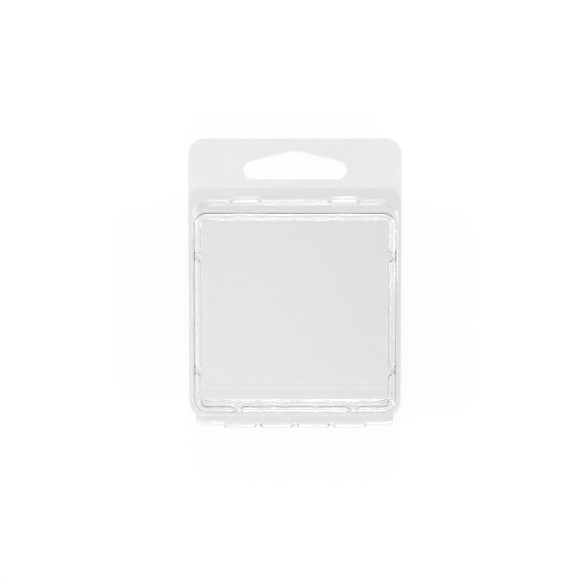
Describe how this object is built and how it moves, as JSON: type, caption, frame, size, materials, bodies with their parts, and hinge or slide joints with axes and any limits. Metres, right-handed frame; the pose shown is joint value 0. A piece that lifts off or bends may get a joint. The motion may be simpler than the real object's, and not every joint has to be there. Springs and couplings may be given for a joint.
{
  "type": "clear plastic clamshell pack",
  "caption": "Square clear plastic clamshell pack with a hang tab, a deep front blister, a low back plug and a beaded film hinge that lets it open flat.",
  "frame": {"origin": "under the middle of the closed pack, on the plane that its back lies on", "axes": "+X across the pack, +Y towards the hang tab, +Z out of the front face"},
  "size_m": [0.066, 0.0906, 0.0254],
  "materials": {
    "clear_pet": "clear thermoformed PET sheet, 0.4 mm, glossy on both sides"
  },
  "bodies": {
    "back": {"back_shell": "clear_pet"},
    "hinge": {"film_hinge": "clear_pet"},
    "front": {"front_shell": "clear_pet"}
  },
  "joints": [
    {"name": "back_fold", "type": "hinge", "parent": "back", "child": "hinge", "pos_m": [0, -0.04308, 0], "axis": [1, 0, 0], "range_deg": [0, 90]},
    {"name": "front_fold", "type": "hinge", "parent": "hinge", "child": "front", "pos_m": [0, -0.04308, 0.0022], "axis": [1, 0, 0], "range_deg": [0, 90]}
  ],
  "couplings": [
    {"joint": "back_fold", "follows": "front_fold", "ratio": 1}
  ]
}
